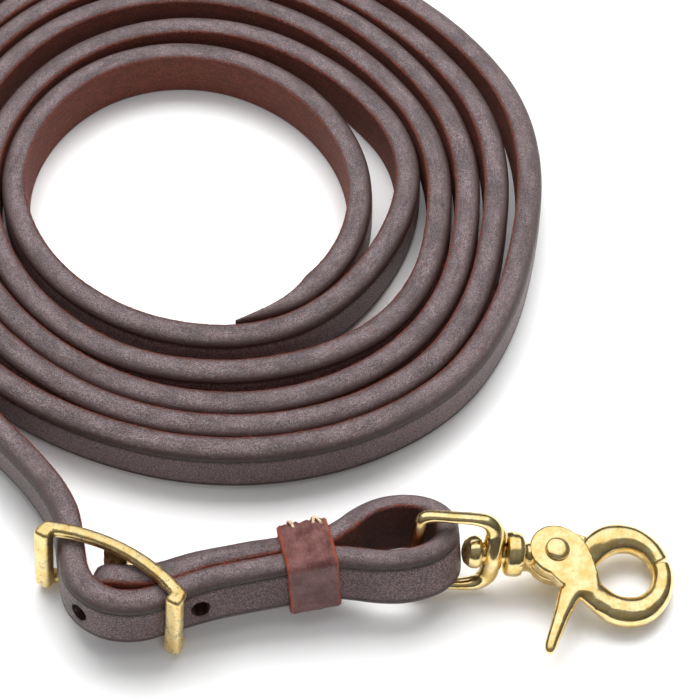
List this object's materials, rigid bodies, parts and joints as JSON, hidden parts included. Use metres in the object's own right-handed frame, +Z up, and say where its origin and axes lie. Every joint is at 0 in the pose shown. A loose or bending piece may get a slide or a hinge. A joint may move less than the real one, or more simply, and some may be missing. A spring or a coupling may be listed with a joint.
{
  "type": "training leash",
  "caption": "Flat leather leash in a loose coil, with a Conway buckle on its doubled end, a sliding keeper and a brass swivel trigger snap.",
  "frame": {"origin": "bottom centre of the buckle, doubled strap end and snap, on the surface the leash rests on", "axes": "+X along the doubled strap end towards the snap, +Y towards the coil, +Z up"},
  "size_m": [0.1437, 0.1623, 0.0164],
  "materials": {
    "strap_leather": "waxed, fine pebbled grain",
    "keeper_leather": "smooth, slightly glossy",
    "brass": "polished cast",
    "thread": "waxed thread",
    "spring_steel": "drawn wire"
  },
  "bodies": {
    "leash": {"strap_coil": "strap_leather", "strap_lead": "strap_leather", "strap_bulge": "strap_leather", "strap_tail_end": "strap_leather", "strap_end_loop": "strap_leather", "conway_buckle": "brass"},
    "keeper": {"keeper": "keeper_leather", "keeper_stitches": "thread"},
    "eye": {"swivel_eye": "brass"},
    "snap": {"snap_body": "brass", "pivot_rivet": "brass", "gate_spring": "spring_steel"},
    "trigger": {"trigger_gate": "brass"}
  },
  "joints": [
    {"name": "keeper_slide", "type": "slide", "parent": "leash", "child": "keeper", "axis": [-0.9774, -0.2113, 0], "range_m": [0, 0.012]},
    {"name": "eye_swing", "type": "hinge", "parent": "leash", "child": "eye", "pos_m": [0.01055, 0.00386, 0.00956], "axis": [0.1399, 0.3797, 0.9145], "range_deg": [-12, 2]},
    {"name": "snap_swivel", "type": "hinge", "parent": "eye", "child": "snap", "pos_m": [0.01055, 0.00386, 0.00956], "axis": [0.9857, 0.0344, -0.165], "continuous": true},
    {"name": "trigger_open", "type": "hinge", "parent": "snap", "child": "trigger", "pos_m": [0.03366, 0.00487, 0.00571], "axis": [-0.1677, 0.0987, -0.9809], "range_deg": [0, 35], "stiffness_Nm_per_rad": 0.02, "springref_deg": -11.46}
  ]
}
